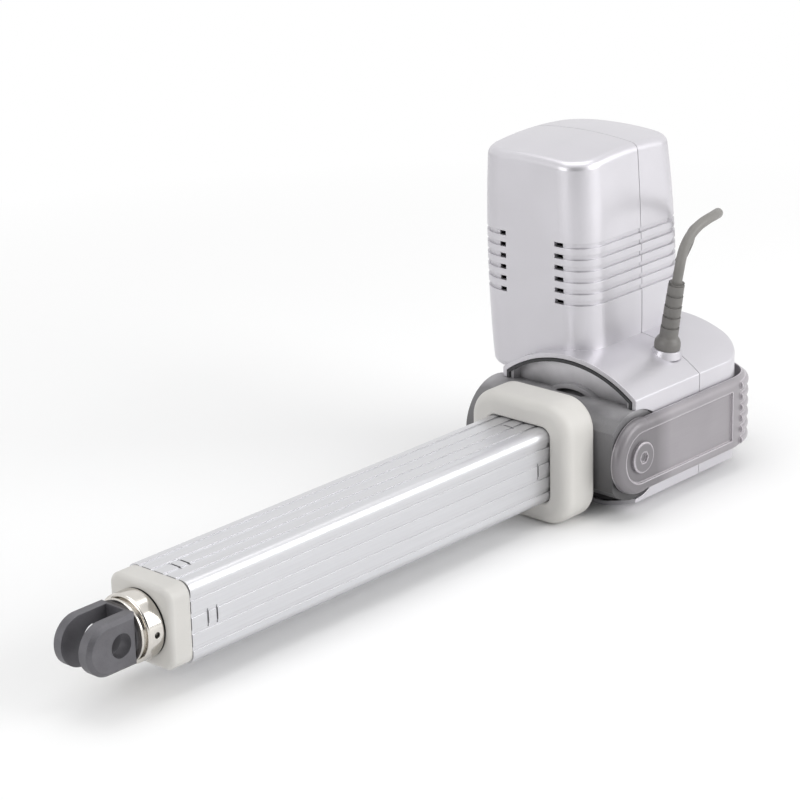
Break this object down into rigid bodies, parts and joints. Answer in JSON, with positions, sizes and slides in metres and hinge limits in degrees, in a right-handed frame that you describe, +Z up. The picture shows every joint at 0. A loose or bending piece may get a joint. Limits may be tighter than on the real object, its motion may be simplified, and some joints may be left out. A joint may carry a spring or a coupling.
{
  "type": "linear actuator",
  "caption": "Electric linear actuator: an upright geared motor drives a screw that pushes a piston tube out of a square guide tube, with a fork at each end and a quick-release lever",
  "frame": {"origin": "middle of the rear pin bore", "axes": "+X along the spindle to the rod end, +Z up to the motor, +Y to the side of the release lever, along both pin bores"},
  "size_m": [0.5747, 0.1808, 0.189],
  "materials": {
    "aluminium": "drawn and anodised, fine lines along it",
    "board": "green laminate",
    "brass": "machined",
    "cable_sheath": "satin olive grey",
    "cap_plastic": "satin warm light grey",
    "carbon": "pressed carbon",
    "cast_metal": "dark blasted casting",
    "chrome": "polished",
    "copper": "enamelled wire",
    "cover_plastic": "satin dark grey",
    "frame_metal": "as cast",
    "ground_steel": "ground bright",
    "housing_plastic": "fine satin texture, pale silver grey",
    "inner_plastic": "natural moulded plastic",
    "lever_plastic": "satin mid grey",
    "magnet": "dull ceramic",
    "plated_steel": "zinc plated",
    "rubber": "soft black",
    "steel": "plain machined"
  },
  "bodies": {
    "housing": {"rear_shell": "housing_plastic", "front_shell": "housing_plastic", "shell_screws": "plated_steel", "front_cover": "cover_plastic", "cover_rim": "rubber", "collar": "cap_plastic", "collar_screws": "plated_steel", "outer_tube": "aluminium", "end_cap": "cap_plastic", "guide_bush": "inner_plastic", "wiper_seal": "rubber", "rear_fork": "cast_metal", "gear_frame": "frame_metal", "motor_screws": "plated_steel", "bearing_outer_race": "steel", "motor_can": "plated_steel", "magnet_near": "magnet", "magnet_far": "magnet", "brushes": "carbon", "brush_holder": "inner_plastic", "motor_end_bell": "inner_plastic", "motor_upper_bush": "brass", "motor_lower_bush": "brass", "motor_middle_bush": "brass", "board_posts": "inner_plastic", "control_board": "board", "cable_gland": "cable_sheath", "cable_tube": "cable_sheath", "cable_coil": "cable_sheath", "cable_plug": "cable_sheath"},
    "rod": {"piston_tube": "ground_steel", "rod_ring": "chrome", "rod_fork": "cast_metal", "drive_nut": "inner_plastic"},
    "spindle": {"spindle": "steel", "bearing_inner_race": "steel", "bearing_balls": "steel", "spring_seat": "steel", "spindle_end_stop": "steel", "clutch_spring": "steel"},
    "wheel": {"worm_wheel": "inner_plastic"},
    "clutch": {"clutch_sleeve": "steel"},
    "armature": {"motor_shaft": "steel", "armature_core": "steel", "armature_windings": "copper", "commutator": "copper", "worm": "steel"},
    "lever": {"release_lever": "lever_plastic", "release_yoke": "steel", "lever_screw": "lever_plastic"}
  },
  "joints": [
    {"name": "armature_spin", "type": "hinge", "parent": "housing", "child": "armature", "pos_m": [0.0725, -0.032, 0], "axis": [0, 0, 1], "range_deg": [0, 540000]},
    {"name": "wheel_spin", "type": "hinge", "parent": "housing", "child": "wheel", "pos_m": [0.0725, 0, 0], "axis": [1, 0, 0], "range_deg": [0, 13500]},
    {"name": "spindle_spin", "type": "hinge", "parent": "housing", "child": "spindle", "pos_m": [0.0725, 0, 0], "axis": [1, 0, 0], "range_deg": [0, 13500]},
    {"name": "rod_extend", "type": "slide", "parent": "housing", "child": "rod", "axis": [1, 0, 0], "range_m": [0, 0.225]},
    {"name": "lever_pull", "type": "hinge", "parent": "housing", "child": "lever", "pos_m": [0.125, 0, 0], "axis": [0, 1, 0], "range_deg": [0, 28], "stiffness_Nm_per_rad": 0.2, "springref_deg": -28.65},
    {"name": "clutch_slide", "type": "slide", "parent": "spindle", "child": "clutch", "axis": [1, 0, 0], "range_m": [0, 0.00634]}
  ],
  "couplings": [
    {"joint": "wheel_spin", "follows": "armature_spin", "ratio": 0.025},
    {"joint": "spindle_spin", "follows": "armature_spin", "ratio": 0.025},
    {"joint": "rod_extend", "follows": "armature_spin", "m_per_rad": 0.000023873},
    {"joint": "clutch_slide", "follows": "lever_pull", "m_per_rad": 0.012969}
  ]
}
